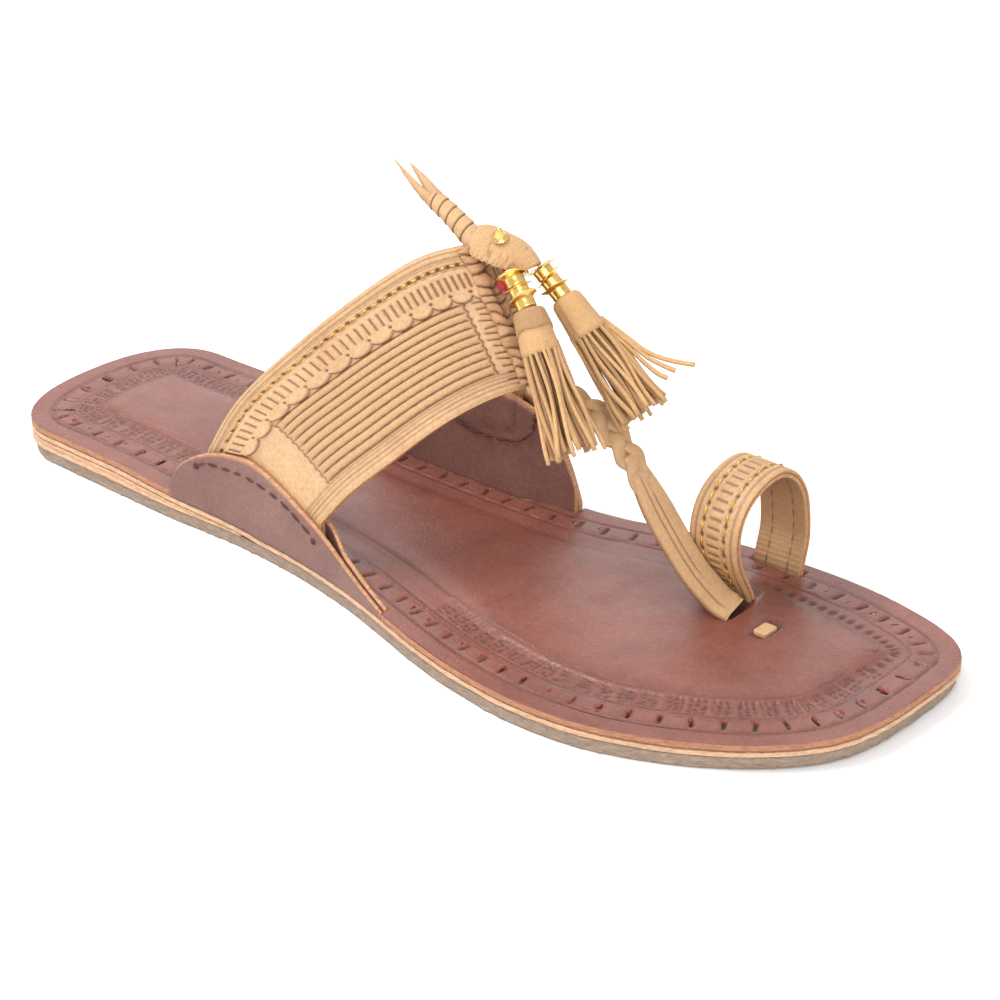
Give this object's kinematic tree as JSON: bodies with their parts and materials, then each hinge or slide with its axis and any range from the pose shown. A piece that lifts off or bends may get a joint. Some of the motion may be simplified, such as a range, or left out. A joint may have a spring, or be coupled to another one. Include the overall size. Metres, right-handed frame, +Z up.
{
  "type": "kolhapuri sandal",
  "caption": "Right-foot flat leather sandal with ribbed instep band, plaited thong, big-toe loop, side flaps and two hanging tassels.",
  "frame": {"origin": "on the floor under the middle of the sole's length, on the line through the middle of heel and ball", "axes": "+X from heel to toe, +Y towards the big-toe side, +Z up from the floor"},
  "size_m": [0.255, 0.0908, 0.0949],
  "materials": {
    "taupe rubber": "matt, rough cut edge",
    "pale leather edge": "matt raw edge",
    "brown leather": "satin, fine grain",
    "flap leather": "matt, fine grain",
    "tan leather": "matt vegetable tanned",
    "suede": "napped",
    "gold": "polished",
    "red thread": "matt thread"
  },
  "bodies": {
    "root": {"outsole": "taupe rubber", "heel_lift": "pale leather edge", "midsole": "pale leather edge", "insole": "brown leather", "side_flap_lateral_outer": "flap leather", "side_flap_lateral_inner": "flap leather", "side_flap_medial_outer": "flap leather", "side_flap_medial_inner": "flap leather", "upper": "tan leather", "toe_loop": "tan leather", "thong_tab": "suede", "cone_stud": "gold", "red_knot": "red thread", "bead_stack_near": "gold", "bead_stack_far": "gold", "tassel_near": "suede", "tassel_far": "suede"}
  },
  "joints": []
}
